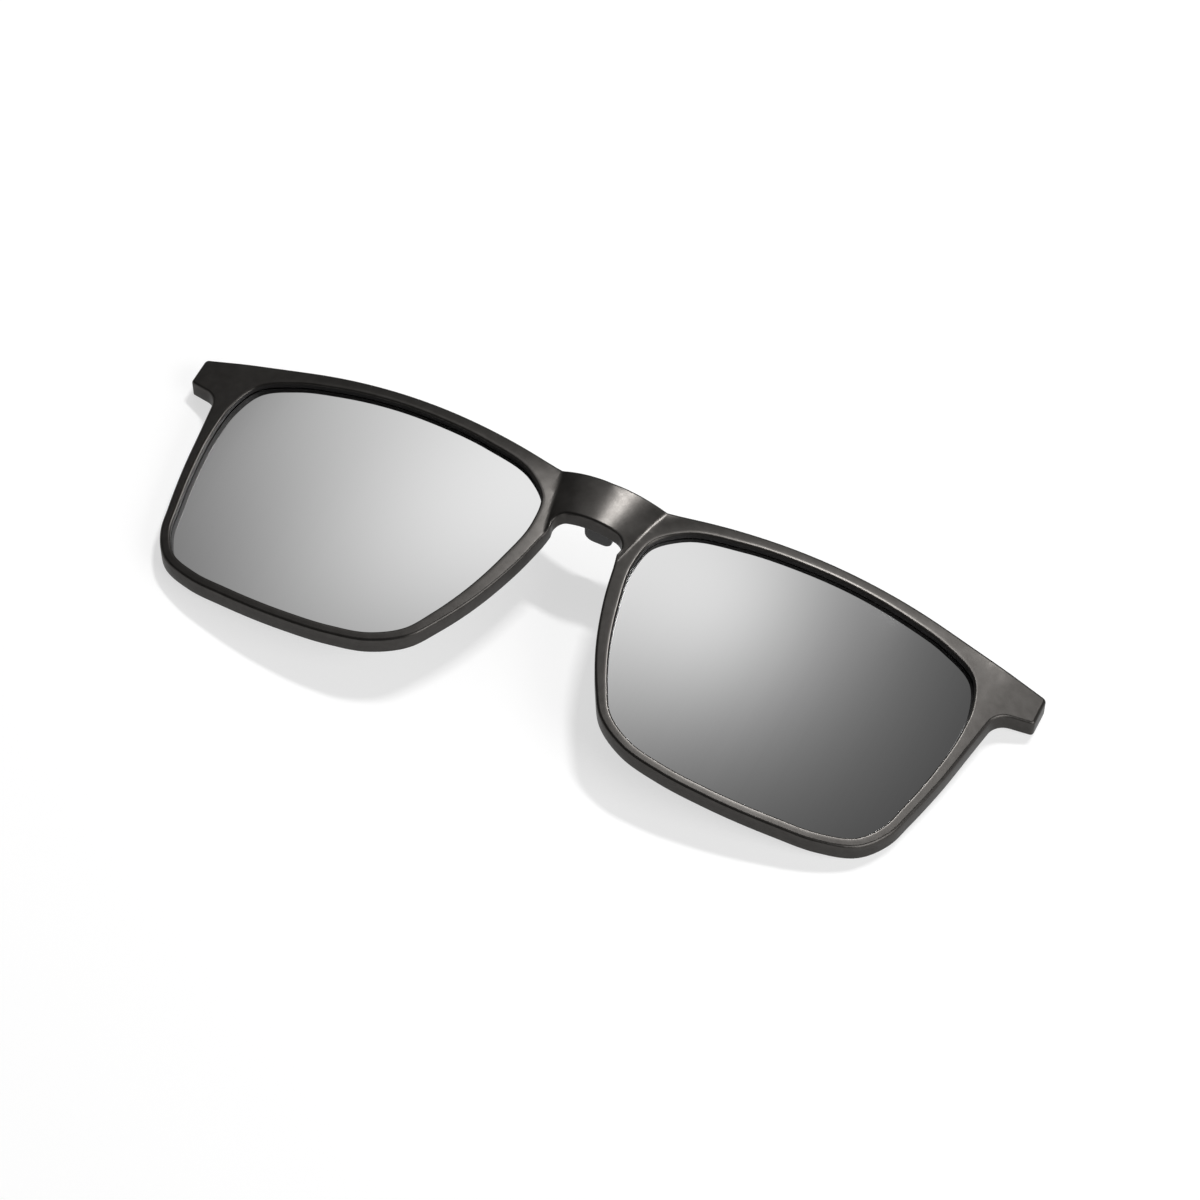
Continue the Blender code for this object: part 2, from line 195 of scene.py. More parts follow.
def front_line():
    """The outside of the whole front, clockwise from the top of the bridge."""
    top_corner = Vector((half_span, end_top))
    bottom_corner = Vector((half_span, end_bottom))
    lower_rim = rim_points(lower_rim_points)
    rise = (lower_rim[0] - lower_rim[1]).normalized()
    throat = lower_rim[0] + rise * (end_bottom - end_undercut - lower_rim[0].y) / rise.y
    brow_marks = [Vector((crease_top_half, crease_top)), *rim_points(brow_points), top_corner]
    brow = smooth_line(brow_marks, closed=False)
    end_face = rounded_corner(brow[-2], top_corner, bottom_corner, end_corner_radius, end_corner_steps)
    end_face += rounded_corner(top_corner, bottom_corner, throat, end_corner_radius, end_corner_steps)
    fillet = rounded_corner(bottom_corner, throat, lower_rim[0], end_fillet_radius, end_fillet_steps)
    rim = smooth_line(lower_rim, closed=False)
    arch_corner = Vector((arch_half_width, bridge_foot))
    arch_foot = Vector((arch_half_width, rim[-1].y))
    arch_middle = Vector((0, bridge_foot))
    arch = rounded_corner(arch_foot, arch_corner, arch_middle, arch_radius, arch_steps)
    half = brow[:-1] + end_face + fillet + rim + arch
    return [Vector((0, bridge_top)), *half, arch_middle, *mirrored(half)]


def deselect_all():
    if bpy.context.object and bpy.context.object.mode != "OBJECT":
        bpy.ops.object.mode_set(mode="OBJECT")
    bpy.ops.object.select_all(action="DESELECT")


def take_up(piece):
    """Makes the piece the only one selected, and the active one."""
    deselect_all()
    piece.select_set(True)
    bpy.context.view_layer.objects.active = piece


weld_distance = 0.000001
flat_angle = math.radians(0.05)
sharp_angle = math.radians(60)


def cut_out(name, lines, bottom, top):
    """A plate between two heights, from a filled curve with these outlines."""
    deselect_all()
    bpy.ops.curve.primitive_bezier_circle_add()
    plate = bpy.context.object
    plate.name = name
    plate.data.dimensions = "2D"
    plate.data.fill_mode = "BOTH"
    plate.data.extrude = (top - bottom) / 2
    plate.data.splines.clear()
    for line in lines:
        spline = plate.data.splines.new("POLY")
        spline.points.add(len(line) - 1)
        for point, place in zip(spline.points, line):
            point.co = (place.x, place.y, 0, 1)
        spline.use_cyclic_u = True
    plate.location.z = (top + bottom) / 2
    bpy.ops.object.convert(target="MESH")
    bpy.ops.object.transform_apply(location=True, rotation=True, scale=True)
    bpy.ops.object.mode_set(mode="EDIT")
    bpy.ops.mesh.select_all(action="SELECT")
    bpy.ops.mesh.remove_doubles(threshold=weld_distance)
    bpy.ops.mesh.normals_make_consistent(inside=False)
    bpy.ops.mesh.dissolve_limited(angle_limit=flat_angle)
    bpy.ops.object.mode_set(mode="OBJECT")
    return plate


def select_faces(piece, wanted):
    """Selects the piece's faces for which the test holds, and leaves it in edit mode."""
    take_up(piece)
    bpy.ops.object.mode_set(mode="EDIT")
    bpy.ops.mesh.select_mode(type="FACE")
    bpy.ops.mesh.select_all(action="DESELECT")
    bpy.ops.object.mode_set(mode="OBJECT")
    for face in piece.data.polygons:
        face.select = wanted(face)
    bpy.ops.object.mode_set(mode="EDIT")


def select_edges(piece, wanted):
    """Selects the piece's sharp edges for which the test holds, and leaves it in edit mode."""
    take_up(piece)
    bpy.ops.object.mode_set(mode="EDIT")
    bpy.ops.mesh.select_mode(type="EDGE")
    bpy.ops.mesh.select_all(action="DESELECT")
    bpy.ops.mesh.edges_select_sharp(sharpness=sharp_angle)
    bpy.ops.object.mode_set(mode="OBJECT")
    for edge in piece.data.edges:
        ends = [piece.data.vertices[index].co for index in edge.vertices]
        edge.select = edge.select and wanted(ends)
    bpy.ops.object.mode_set(mode="EDIT")


def round_edges(piece, height, radius, steps, wanted=lambda end: True):
    """Rounds the sharp edges that lie at a height, or those of them for which the test holds."""
    select_edges(piece, lambda ends: all(abs(end.z - height) < weld_distance and wanted(end) for end in ends))
    bpy.ops.mesh.bevel(offset=radius, segments=steps, profile=0.5)
    bpy.ops.object.mode_set(mode="OBJECT")


opening_inset = 0.0002
edge_line = opening_line(-opening_inset)
edge_normals = outward_normals(edge_line)
edge_tree = kdtree.KDTree(len(edge_line))
for i, place in enumerate(edge_line):
    edge_tree.insert((place.x, place.y, 0), i)
edge_tree.balance()


def past_opening(point):
    """How far outside the wall of the nearest lens opening a point lies, and the way outwards there."""
    place = Vector((abs(point.x), point.y))
    nearest = edge_tree.find((place.x, place.y, 0))[1]
    choices = []
    for start in (nearest - 1, nearest):
        end = (start + 1) % len(edge_line)
        along = edge_line[end] - edge_line[start]
        share = min(max(0, (place - edge_line[start]).dot(along) / along.length_squared), 1)
        offset = place - edge_line[start] - along * share
        outwards = edge_normals[start].lerp(edge_normals[end], share)
        choices.append((offset.length, offset.dot(outwards), outwards))
    return min(choices, key=lambda choice: choice[0])[1:]


def boolean(piece, other, operation):
    take_up(piece)
    modifier = piece.modifiers.new(operation.lower(), "BOOLEAN")
    modifier.operation = operation
    modifier.solver = "EXACT"
    modifier.object = other
    bpy.ops.object.modifier_apply(modifier=modifier.name)
    bpy.data.objects.remove(other)


wrap_radius = 0.2228
wrap_start = 0.0049
end_flat = 0.0661
ridge_start = 0.00044
ridge_width = 0.00025
ridge_rings = 2
brow_slope = 0.19
chin_slope = 0.045
nose_slope = 0.08
slope_growth = 0.0050
slope_reach = 0.0022
slope_fade = 0.0015


def rim_fall(point):
    """How far the rim's face has dropped at a point, beyond the soft ridge that runs round each opening.

    The slope grows outwards and then fades, and the brow's flattens out towards the end pieces.
    """
    past, outwards = past_opening(point)
    sideways_slope = nose_slope if outwards.x < 0 else 0
    endwards = max(0, abs(point.x) - opening_centre.x) / (end_flat - opening_centre.x)
    upright_slope = brow_slope * (1 - min(1, endwards) ** 2) if outwards.y > 0 else chin_slope
    slope = sideways_slope * outwards.x**2 + upright_slope * outwards.y**2
    along = max(0, past - ridge_start)
    turning = min(along, ridge_width)
    sloping = min(along - turning, slope_reach)
    fading = min(along - turning - sloping, slope_fade)
    steepest = 1 + slope_reach / slope_growth
    shares = turning**2 / (2 * ridge_width) + sloping + sloping**2 / (2 * slope_growth)
    shares += steepest * (fading - fading**2 / (2 * slope_fade))
    return slope * shares


bridge_rise = 0.00196
bridge_bow = bridge_rise + rim_fall(Vector((0, bridge_top)))
crease_softness_share = 0.06


def wrap_height(x):
    """The front curves round the face, and its end pieces are flat."""
    curved = min(max(0, abs(x) - wrap_start), end_flat - wrap_start)
    straight = max(0, abs(x) - end_flat)
    return -(curved**2) / (2 * wrap_radius) - straight * (end_flat - wrap_start) / wrap_radius


def crease_half(y):
    share = (y - bridge_foot) / (crease_top - bridge_foot)
    return crease_foot_half + (crease_top_half - crease_foot_half) * share


def front_height(x, y):
    """The bridge bows forward from its creases, which are softened by the mould's small radius."""
    rise = 1 - (x / crease_half(max(0, y))) ** 2
    if abs(rise) < crease_softness_share:
        rise = (rise + crease_softness_share) ** 2 / (4 * crease_softness_share)
    return wrap_height(x) + bridge_bow * max(0, rise)


def bend(piece, height):
    for vertex in piece.data.vertices:
        vertex.co.z += height(vertex.co.x, vertex.co.y)


slice_weld = 0.000002
wrap_step = 0.001
row_step = 0.0004
rim_rows = 8
level_normal = 0.99
bridge_margin = 0.001
arch_margin = 0.0025
bridge_slices_low = 0.004
crease_step = 0.00008
crease_slices = 5
bow_step = 0.0005
bow_slices = 15
bridge_rows = 12
arch_rows = 4


def bisect_at(places, normal):
    """Slices all that shows in edit mode at each place."""
    for place in places:
        bpy.ops.mesh.select_all(action="SELECT")
        bpy.ops.mesh.bisect(plane_co=place, plane_no=normal, threshold=slice_weld)


def slice_wrap(piece):
    """Slices the piece across at equal steps, so that it can follow the wrap."""
    take_up(piece)
    bpy.ops.object.mode_set(mode="EDIT")
    count = int(half_span / wrap_step)
    bisect_at([(k * wrap_step, 0, 0) for k in range(-count, count + 1)], (1, 0, 0))
    bpy.ops.object.mode_set(mode="OBJECT")


def slice_bridge(piece):
    """Slices the bridge along and across its creases, finely beside each crease."""

    def near_bridge(face):
        return abs(face.center.x) < crease_top_half + bridge_margin and face.center.y > bridge_slices_low

    select_faces(piece, near_bridge)
    bpy.ops.mesh.hide(unselected=True)
    lean = crease_top_half - crease_foot_half
    for side in (-1, 1):
        normal = Vector((crease_top - bridge_foot, -side * lean, 0))
        across = [crease_foot_half + crease_step * k for k in range(-crease_slices, crease_slices + 1)]
        bisect_at([(side * x, bridge_foot, 0) for x in across], normal)
    # Every even one of these lies on a slice of the wrap
    bisect_at([(bow_step * k, 0, 0) for k in range(-bow_slices, bow_slices + 1) if k % 2], (1, 0, 0))
    row_height = (bridge_top - bridge_foot) / bridge_rows
    bisect_at([(0, bridge_foot + row_height * k, 0) for k in range(-arch_rows, bridge_rows)], (0, 1, 0))
    bpy.ops.mesh.reveal(select=False)
    bpy.ops.object.mode_set(mode="OBJECT")


def slice_face(piece):
    """Slices the face of the rims and ends into narrow rows, so that it can take up its slopes."""

    def on_slopes(face):
        beside_bridge = abs(face.center.x) < crease_top_half + bridge_margin
        if beside_bridge and face.center.y > bridge_foot - arch_margin:
            return False
        return face.normal.z > level_normal and past_opening(face.center)[0] > ridge_start + ridge_width

    select_faces(piece, on_slopes)
    bpy.ops.mesh.hide(unselected=True)
    rows = int(half_height / row_step) + rim_rows
    bisect_at([(0, (k + 0.5) * row_step, 0) for k in range(-rows, rows)], (0, 1, 0))
    count = int(half_span / wrap_step) + 1
    bisect_at([((k + 0.5) * wrap_step, 0, 0) for k in range(-count, count)], (1, 0, 0))
    bpy.ops.mesh.reveal(select=False)
    bpy.ops.object.mode_set(mode="OBJECT")


inner_edge_radius = 0.00034
inner_edge_steps = 8
outer_edge_radius = 0.00042
outer_edge_steps = 6
back_edge_radius = 0.00015
back_edge_steps = 3
wall_tolerance = 0.00002


def at_opening(end):
    """Whether an end of an edge lies on the wall of a lens opening."""
    return abs(past_opening(end)[0]) < wall_tolerance


groove_depth = 0.0006
lens_thickness = 0.0007
lip_thickness = 0.00115
lens_clearance = 0.00015
groove_bottom = -front_thickness + lip_thickness
groove_top = groove_bottom + lens_thickness + 2 * lens_clearance
front_outlines = [front_line(), edge_line, mirrored(edge_line)]
front = cut_out("moulded_front", front_outlines, -front_thickness, 0)
# Rings beside the edges keep the bevels' highlights even
select_faces(front, lambda face: abs(face.normal.z) > level_normal)
bpy.ops.mesh.inset(thickness=ridge_start, depth=0)
for k in range(ridge_rings):
    bpy.ops.mesh.inset(thickness=ridge_width / ridge_rings, depth=0)
round_edges(front, 0, inner_edge_radius, inner_edge_steps, at_opening)
round_edges(front, 0, outer_edge_radius, outer_edge_steps, lambda end: not at_opening(end))
round_edges(front, -front_thickness, back_edge_radius, back_edge_steps)
for turn in (list, mirrored):
    groove = cut_out("groove", [turn(opening_line(groove_depth))], groove_bottom, groove_top)
    boolean(front, groove, "DIFFERENCE")
slice_wrap(front)
slice_bridge(front)
slice_face(front)

# The walls and grooves of the openings take a near-black matt material: painted shade for the dark of their
# recess
painted_shade_width = opening_inset + groove_depth + 0.0001
painted_shade_bottom = -front_thickness + 0.0002
painted_shade_top = -0.0003
for face in front.data.polygons:
    in_painted_shade = painted_shade_bottom < face.center.z < painted_shade_top
    face.material_index = int(in_painted_shade and past_opening(face.center)[0] < painted_shade_width)

sloped_depth = 0.0005
for vertex in front.data.vertices:
    if vertex.co.z > -sloped_depth:
        vertex.co.z -= rim_fall(vertex.co)
bend(front, front_height)

magnet_diameter = 0.0030
bore_clearance = 0.00005
end_wall = 0.00075
bore_depth = front_thickness - end_wall
round_sides = 64
cut_overrun = 0.001


def end_disc(side, radius, start, length):
    """A short cylinder square to the back of an end piece, from a depth inwards."""
    seat_x = mounts["magnet_seat_right"]["pos_m"][0]
    inwards = Vector((side * (end_flat - wrap_start) / wrap_radius, 0, 1)).normalized()
    back = Vector((side * seat_x, (end_top + end_bottom) / 2, wrap_height(seat_x) - front_thickness))
    middle = back + inwards * (start + length / 2)
    turn = Vector((0, 0, 1)).rotation_difference(inwards).to_euler()
    deselect_all()
    bpy.ops.mesh.primitive_cylinder_add(
        vertices=round_sides, radius=radius, depth=length, location=middle, rotation=turn
    )
    bpy.ops.object.transform_apply(location=True, rotation=True, scale=True)
    return bpy.context.object


for side in (-1, 1):
    bore = end_disc(side, magnet_diameter / 2 + bore_clearance, -cut_overrun, bore_depth + cut_overrun)
    boolean(front, bore, "DIFFERENCE")


def colour(hex_text):
    """An sRGB hex colour as the linear values that a shader takes."""
    levels = [int(hex_text[k : k + 2], 16) / 255 for k in (1, 3, 5)]
    linear = [level / 12.92 if level <= 0.04045 else ((level + 0.055) / 1.055) ** 2.4 for level in levels]
    return (*linear, 1)


def add_node(tree, kind, links=(), inputs=(), **settings):
    """Adds a node with its settings, its own input values, and links given as (socket, source)."""
    node = tree.nodes.new(kind)
    for key, value in settings.items():
        setattr(node, key, value)
    for key, value in inputs:
        node.inputs[key].default_value = value
    for key, source in links:
        tree.links.new(source, node.inputs[key])
    return node


def new_material(name):
    material = bpy.data.materials.new(name)
    material.use_nodes = True
    tree = material.node_tree
    tree.nodes.clear()
    return material, tree


# Satin gunmetal lacquer, sprayed over the moulded nylon: fine metal flakes under a thin satin coat. The eye
# sees soft broad highlights and a slightly warm dark grey, and the coat keeps flat angles from brightening.
# The flakes are drawn 0.2 mm across, coarser than they are, so that their grain shows. The tone drifts over
# 1.4 mm with the thickness of the spray.
lacquer, tree = new_material("satin_gunmetal_lacquer")
place = add_node(tree, "ShaderNodeTexCoord").outputs["Object"]
flakes = add_node(tree, "ShaderNodeTexNoise", [("Vector", place)], [("Scale", 5200.0), ("Detail", 2.0)])
mottle = add_node(tree, "ShaderNodeTexNoise", [("Vector", place)], [("Scale", 700.0), ("Detail", 3.0)])
tone = add_node(tree, "ShaderNodeValToRGB", [("Fac", mottle.outputs["Fac"])])
tone.color_ramp.elements[0].position = 0.30
tone.color_ramp.elements[0].color = colour("#403e3c")
tone.color_ramp.elements[1].position = 0.70
tone.color_ramp.elements[1].color = colour("#474543")
gloss = add_node(
    tree,
    "ShaderNodeMapRange",
    [("Value", flakes.outputs["Fac"])],
    [("From Min", 0.3), ("From Max", 0.7), ("To Min", 0.31), ("To Max", 0.37)],
)
grain = add_node(
    tree,
    "ShaderNodeBump",
    [("Height", flakes.outputs["Fac"])],
    [("Strength", 0.10), ("Distance", 0.00002)],
)
paint = add_node(
    tree,
    "ShaderNodeBsdfPrincipled",
    [
        ("Base Color", tone.outputs["Color"]),
        ("Roughness", gloss.outputs["Result"]),
        ("Normal", grain.outputs["Normal"]),
    ],
    [("Metallic", 0.85), ("Specular Tint", colour("#c4c4c4"))],
)
add_node(tree, "ShaderNodeOutputMaterial", [("Surface", paint.outputs["BSDF"])])

# Painted shade on the walls and grooves of the lens openings: a matt, nearly black plastic that stands in for
# the dark of their recess. Its fine texture is drawn 0.25 mm across, coarser than it is, so that it shows.
painted_shade_wall, tree = new_material("painted_shade_near_black_wall")
place = add_node(tree, "ShaderNodeTexCoord").outputs["Object"]
texture = add_node(tree, "ShaderNodeTexNoise", [("Vector", place)], [("Scale", 4000.0), ("Detail", 3.0)])
gloss = add_node(
    tree,
    "ShaderNodeMapRange",
    [("Value", texture.outputs["Fac"])],
    [("To Min", 0.5), ("To Max", 0.7)],
)
plastic = add_node(
    tree,
    "ShaderNodeBsdfPrincipled",
    [("Roughness", gloss.outputs["Result"])],
    [("Base Color", colour("#1c1b1b")), ("IOR", 1.53), ("Specular IOR Level", 0.35)],
)
add_node(tree, "ShaderNodeOutputMaterial", [("Surface", plastic.outputs["BSDF"])])
# The second slot holds the painted shade of the opening walls
front.data.materials.append(lacquer)
front.data.materials.append(painted_shade_wall)

hook_width = 0.0046
hook_thickness = 0.0012
hook_lift = 0.0022
hook_low = bridge_foot + hook_lift
hook_seat = front_height(hook_width / 2, hook_low) - front_thickness
hook_edge_radius = 0.0002
hook_edge_steps = 4
hook_tip_steps = 12
tenon_shoulder = 0.0003
tenon_length = 0.0010
tenon_half = hook_width / 2 - tenon_shoulder
tenon_end = hook_seat + tenon_length
tenon_low = hook_low + tenon_shoulder
tenon_thickness = hook_thickness - 2 * tenon_shoulder
slot_clearance = 0.00005


def upright_bar(name, half, front_end, tip, low, thickness, tip_radius=0):
    """A flat bar that stands out behind the bridge, drawn from above and given its thickness upwards."""
    places = ((half, front_end), (half, tip), (-half, tip), (-half, front_end))
    corners = [Vector(place) for place in places]
    line = list(corners)
    if tip_radius:
        right_corner = rounded_corner(*corners[:3], tip_radius, hook_tip_steps)
        left_corner = rounded_corner(*corners[1:], tip_radius, hook_tip_steps)
        line[1:3] = right_corner + left_corner
    bar = cut_out(name, [line], -low - thickness, -low)
    if tip_radius:
        round_edges(bar, -low - thickness, hook_edge_radius, hook_edge_steps)
        round_edges(bar, -low, hook_edge_radius, hook_edge_steps)
    take_up(bar)
    bar.rotation_euler.x = math.pi / 2
    bpy.ops.object.transform_apply(location=True, rotation=True, scale=True)
    return bar


slot = upright_bar(
    "slot",
    tenon_half + slot_clearance,
    tenon_end + slot_clearance,
    hook_seat - cut_overrun,
    tenon_low - slot_clearance,
    tenon_thickness + 2 * slot_clearance,
)
boolean(front, slot, "DIFFERENCE")


def smooth(piece, angle, weighted=True):
    take_up(piece)
    bpy.ops.object.shade_smooth_by_angle(angle=math.radians(angle))
    if not weighted:
        return
    even = piece.modifiers.new("even_normals", "WEIGHTED_NORMAL")
    even.keep_sharp = True
    bpy.ops.object.modifier_apply(modifier=even.name)


rest_clearance = 0.000003


def lay_down(piece):
    """Turns the finished piece as the clip-on lies, resting on its ends and its lower rims."""
    take_up(piece)
    seat = mounts["magnet_seat_right"]["pos_m"]
    drawn_seat = Vector((seat[0], (end_top + end_bottom) / 2, wrap_height(seat[0]) - front_thickness))
    turned = Matrix.Rotation(rest_tilt, 3, "X") @ drawn_seat
    piece.rotation_euler.x = rest_tilt
    piece.location = Vector(seat) - turned + Vector((0, 0, rest_clearance))
    bpy.ops.object.transform_apply(location=True, rotation=True, scale=True)


smooth(front, 35, weighted=False)
lay_down(front)
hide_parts("front_frame")
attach(front, "root")

# Lenses
# Two polarised sheets, thermoformed to the wrap and sprung into the grooves of the front. The front face has
# a silver flash mirror, and the back face shows the smoke grey of the sheet itself.
lens_fit = 0.00005
lens_back = groove_bottom + lens_clearance
lens_top = lens_back + lens_thickness
# Silver flash mirror, a vacuum coating on the polished sheet: neutral and nearly perfect. Its gloss drifts a
# little over 22 mm, where the sheet has been stretched by the forming.
flash_mirror, tree = new_material("silver_flash_mirror")
place = add_node(tree, "ShaderNodeTexCoord").outputs["Object"]
ripple = add_node(tree, "ShaderNodeTexNoise", [("Vector", place)], [("Scale", 45.0), ("Detail", 1.0)])
gloss = add_node(
    tree,
    "ShaderNodeMapRange",
    [("Value", ripple.outputs["Fac"])],
    [("To Min", 0.015), ("To Max", 0.025)],
)
mirror = add_node(
    tree,
    "ShaderNodeBsdfPrincipled",
    [("Roughness", gloss.outputs["Result"])],
    [("Base Color", colour("#dcdcdc")), ("Metallic", 1.0)],
)
add_node(tree, "ShaderNodeOutputMaterial", [("Surface", mirror.outputs["BSDF"])])
# Smoke grey polarised sheet, uncoated: glossy and too dark to see through against the skin or a table.
smoke, tree = new_material("smoke_grey_polarised_sheet")
sheet = add_node(
    tree,
    "ShaderNodeBsdfPrincipled",
    inputs=[("Base Color", colour("#2a2b2c")), ("Roughness", 0.08), ("IOR", 1.5)],
)
add_node(tree, "ShaderNodeOutputMaterial", [("Surface", sheet.outputs["BSDF"])])


def lens_height(x, y):
    """The lenses follow the wrap alone, without the bow of the bridge."""
    return wrap_height(x)


for name, turn in (("left", mirrored), ("right", list)):
    lens_outline = turn(opening_line(groove_depth - lens_fit))
    lens = cut_out("lens_sheet_" + name, [lens_outline], lens_back, lens_top)
    slice_wrap(lens)
    bend(lens, lens_height)
    smooth(lens, 30)
    lens.data.materials.clear()
    lens.data.materials.append(flash_mirror)
    lens.data.materials.append(smoke)
    for face in lens.data.polygons:
        faces_forward = face.normal.z > 0.5
        face.material_index = 0 if faces_forward else 1
    lay_down(lens)
    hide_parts("lens_" + name)
    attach(lens, "root")

# Bridge hook
# A small nylon tongue bonded into a slot in the back of the bridge by its tenon. It hooks over the bridge of
# the glasses, and its rounded underside shows below the clip-on's bridge.
hook_reach = 0.0061
hook_tip_radius = 0.0015
bond_overlap = 0.00003
hook = upright_bar(
    "bridge_tongue",
    hook_width / 2,
    hook_seat + bond_overlap,
    hook_seat - hook_reach,
    hook_low,
    hook_thickness,
    hook_tip_radius,
)
tenon = upright_bar("tenon", tenon_half, tenon_end, hook_seat - cut_overrun, tenon_low, tenon_thickness)
boolean(hook, tenon, "UNION")
smooth(hook, 40)
# Black nylon straight from a satin mould, unfilled: smoother and glossier than the painted shade on the
# front's opening walls. Its texture is drawn 0.25 mm across, coarser than it is, so that it shows.
nylon, tree = new_material("moulded_black_nylon")
place = add_node(tree, "ShaderNodeTexCoord").outputs["Object"]
texture = add_node(tree, "ShaderNodeTexNoise", [("Vector", place)], [("Scale", 4000.0), ("Detail", 3.0)])
gloss = add_node(
    tree,
    "ShaderNodeMapRange",
    [("Value", texture.outputs["Fac"])],
    [("To Min", 0.34), ("To Max", 0.5)],
)
grain = add_node(
    tree,
    "ShaderNodeBump",
    [("Height", texture.outputs["Fac"])],
    [("Strength", 0.2), ("Distance", 0.00002)],
)
plastic = add_node(
    tree,
    "ShaderNodeBsdfPrincipled",
    [("Roughness", gloss.outputs["Result"]), ("Normal", grain.outputs["Normal"])],
    [("Base Color", colour("#1b1a1a")), ("IOR", 1.53), ("Specular IOR Level", 0.35)],
)
add_node(tree, "ShaderNodeOutputMaterial", [("Surface", plastic.outputs["BSDF"])])
hook.data.materials.clear()
hook.data.materials.append(nylon)
lay_down(hook)
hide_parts("bridge_hook")
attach(hook, "root")

# Magnets
# Small sintered disc magnets, nickel plated, one in the blind bore behind each end piece. Each lies between
# the bottom of its bore and its cap.
cap_thickness = 0.0005
fit_gap = 0.0003
magnet_thickness = bore_depth - cap_thickness - 2 * fit_gap
magnet_edge_radius = 0.0001
# Bright nickel plate over a tumbled magnet: a slightly warm metal, with soft reflections that the marks of
# the tumbling break up. They are drawn 0.3 mm across, coarser than they are, so that they show.
nickel, tree = new_material("bright_nickel_plate")
place = add_node(tree, "ShaderNodeTexCoord").outputs["Object"]
texture = add_node(tree, "ShaderNodeTexNoise", [("Vector", place)], [("Scale", 3000.0), ("Detail", 2.0)])
gloss = add_node(
    tree,
    "ShaderNodeMapRange",
    [("Value", texture.outputs["Fac"])],
    [("To Min", 0.16), ("To Max", 0.26)],
)
plating = add_node(
    tree,
    "ShaderNodeBsdfPrincipled",
    [("Roughness", gloss.outputs["Result"])],
    [("Base Color", colour("#cbc7bf")), ("Metallic", 1.0)],
)
add_node(tree, "ShaderNodeOutputMaterial", [("Surface", plating.outputs["BSDF"])])
for name, side in (("left", -1), ("right", 1)):
    magnet = end_disc(side, magnet_diameter / 2, cap_thickness + fit_gap, magnet_thickness)
    magnet.name = "disc_magnet_" + name
    select_edges(magnet, lambda ends: True)
    bpy.ops.mesh.bevel(offset=magnet_edge_radius, segments=2)
    smooth(magnet, 40)
    magnet.data.materials.append(nickel)
    lay_down(magnet)
    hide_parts("magnet_" + name)
    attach(magnet, "root")

# Magnet caps
# Thin discs of the hook's black nylon, one to close each magnet's bore. They are glued in flush with the back
# of the end pieces.
cap_edge_radius = 0.00006
for name, side in (("left", -1), ("right", 1)):
    cap = end_disc(side, magnet_diameter / 2, 0, cap_thickness)
    cap.name = "bore_cap_" + name
    select_edges(cap, lambda ends: True)
    bpy.ops.mesh.bevel(offset=cap_edge_radius, segments=2)
    smooth(cap, 40)
    cap.data.materials.append(nylon)
    lay_down(cap)
    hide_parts("magnet_cap_" + name)
    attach(cap, "root")

# Setting
# A pale sweep, a graded light card above and behind the clip-on that its mirror lenses reflect, a key and a
# side softbox, and the camera where the photograph was taken from.
floor_size = 6.0
floor_glow = 0.64
deselect_all()
bpy.ops.mesh.primitive_plane_add(size=floor_size)
floor = bpy.context.object
floor.name = "pale_floor"
# Matt white paper, which the camera sees as an even white with the soft shadow of the clip-on on it
white, tree = new_material("matt_white_paper")
paper = add_node(tree, "ShaderNodeBsdfDiffuse", inputs=[("Color", colour("#a6a6a6"))])
rays = add_node(tree, "ShaderNodeLightPath").outputs
direct = [(0, rays["Is Camera Ray"]), (1, rays["Is Glossy Ray"])]
seen = add_node(tree, "ShaderNodeMath", direct, operation="MAXIMUM")
through = [(0, seen.outputs[0]), (1, rays["Is Transmission Ray"])]
seen = add_node(tree, "ShaderNodeMath", through, operation="MAXIMUM")
lift = add_node(tree, "ShaderNodeMath", [(0, seen.outputs[0])], [(1, floor_glow)], operation="MULTIPLY")
glow = add_node(tree, "ShaderNodeEmission", [("Strength", lift.outputs[0])])
both = add_node(tree, "ShaderNodeAddShader", [(0, paper.outputs["BSDF"]), (1, glow.outputs["Emission"])])
add_node(tree, "ShaderNodeOutputMaterial", [("Surface", both.outputs["Shader"])])
floor.data.materials.append(white)

card_height = 0.250
card_middle = (-0.14, 0.19, card_height)
card_size = (0.90, 0.48, 1.0)
deselect_all()
bpy.ops.mesh.primitive_grid_add(x_subdivisions=8, y_subdivisions=4, size=1.0, location=card_middle)
card = bpy.context.object
card.name = "graded_light_card"
card.scale = card_size
bpy.ops.object.transform_apply(location=True, rotation=True, scale=True)
# Diffuser cloth lit from behind, brightest in three soft patches: the middle of each, its spread across and
# up, and its strength. The lenses show it as their smooth gradient from light to dark.
light_patches = (
    ((-0.085, 0.129, card_height), (0.136, 0.053), 0.87),
    ((-0.198, 0.202, card_height), (0.164, 0.068), 0.72),
    ((0.004, 0.120, card_height), (0.046, 0.024), 0.28),
)
graded, tree = new_material("graded_diffuser_cloth")
place = add_node(tree, "ShaderNodeTexCoord").outputs["Object"]
total = None
for centre, spread, strength in light_patches:
    offset = add_node(tree, "ShaderNodeVectorMath", [(0, place)], [(1, centre)], operation="SUBTRACT")
    shares = (1 / spread[0], 1 / spread[1], 0)
    scaled = add_node(
        tree, "ShaderNodeVectorMath", [(0, offset.outputs[0])], [(1, shares)], operation="MULTIPLY"
    )
    links = [(0, scaled.outputs[0]), (1, scaled.outputs[0])]
    square = add_node(tree, "ShaderNodeVectorMath", links, operation="DOT_PRODUCT")
    fall = add_node(tree, "ShaderNodeMath", [(0, square.outputs["Value"])], [(1, -1.0)], operation="MULTIPLY")
    soft = add_node(tree, "ShaderNodeMath", [(0, fall.outputs[0])], operation="EXPONENT")
    part = add_node(tree, "ShaderNodeMath", [(0, soft.outputs[0])], [(1, strength)], operation="MULTIPLY")
    if total:
        links = [(0, part.outputs[0]), (1, total.outputs[0])]
        part = add_node(tree, "ShaderNodeMath", links, operation="ADD")
    total = part
lit = add_node(tree, "ShaderNodeEmission", [("Strength", total.outputs[0])])
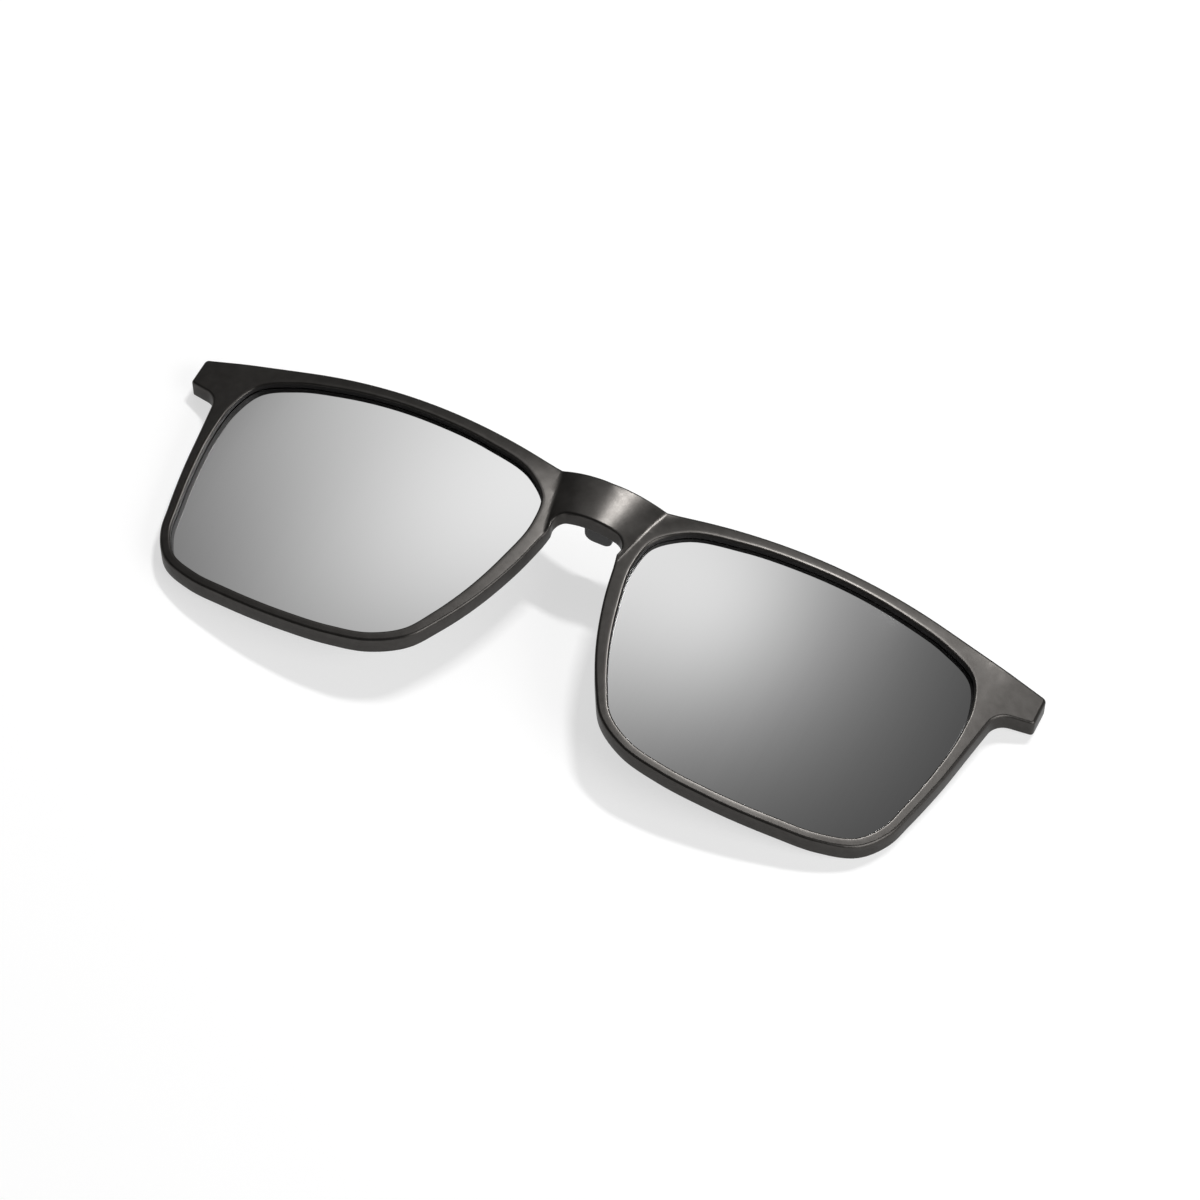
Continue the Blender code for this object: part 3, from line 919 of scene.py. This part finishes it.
clear = add_node(tree, "ShaderNodeBsdfTransparent")
both = add_node(tree, "ShaderNodeAddShader", [(0, lit.outputs["Emission"]), (1, clear.outputs["BSDF"])])
add_node(tree, "ShaderNodeOutputMaterial", [("Surface", both.outputs["Shader"])])
card.data.materials.append(graded)
card.visible_camera = False
card.visible_shadow = False


def softbox(name, azimuth, elevation, distance, width, height, radiance):
    """A softbox that faces the clip-on, its azimuth taken from the brow side towards the right."""
    level = math.cos(math.radians(elevation))
    towards = Vector(
        (
            math.sin(math.radians(azimuth)) * level,
            math.cos(math.radians(azimuth)) * level,
            math.sin(math.radians(elevation)),
        )
    )
    lamp = bpy.data.objects.new(name, bpy.data.lights.new(name, "AREA"))
    lamp.data.shape = "RECTANGLE"
    lamp.data.size = width
    lamp.data.size_y = height
    lamp.data.energy = radiance * math.pi * width * height
    lamp.location = towards * distance
    lamp.rotation_euler = towards.to_track_quat("Z", "Y").to_euler()
    lamp.visible_camera = False
    bpy.context.scene.collection.objects.link(lamp)


softbox("key_softbox", azimuth=8, elevation=59, distance=1.2, width=0.26, height=0.085, radiance=150.0)
softbox("side_softbox", azimuth=100, elevation=28, distance=1.2, width=0.8, height=0.8, radiance=5.0)

room_light = [("Color", (1, 1, 1, 1)), ("Strength", 0.055)]
world = bpy.data.worlds.new("studio")
bpy.context.scene.world = world
world.use_nodes = True
tree = world.node_tree
tree.nodes.clear()
background = add_node(tree, "ShaderNodeBackground", inputs=room_light)
add_node(tree, "ShaderNodeOutputWorld", [("Surface", background.outputs["Background"])])

camera_place = (0.16349, -0.37427, 0.50826)
camera_right = Vector((0.8974, 0.4413, 0.0032))
camera_up = Vector((-0.3676, 0.7434, 0.5587))
camera_turn = Matrix((camera_right, camera_up, camera_right.cross(camera_up))).transposed()
camera_data = bpy.data.cameras.new("camera")
camera = bpy.data.objects.new("camera", camera_data)
bpy.context.scene.collection.objects.link(camera)
camera_data.lens = 128.82
camera_data.sensor_width = 36.0
camera_data.clip_start = 0.01
camera.matrix_world = Matrix.Translation(camera_place) @ (
    Matrix.Rotation(rest_tilt, 4, "X") @ camera_turn.to_4x4()
)
bpy.context.scene.camera = camera
bpy.context.scene.view_settings.view_transform = "Standard"
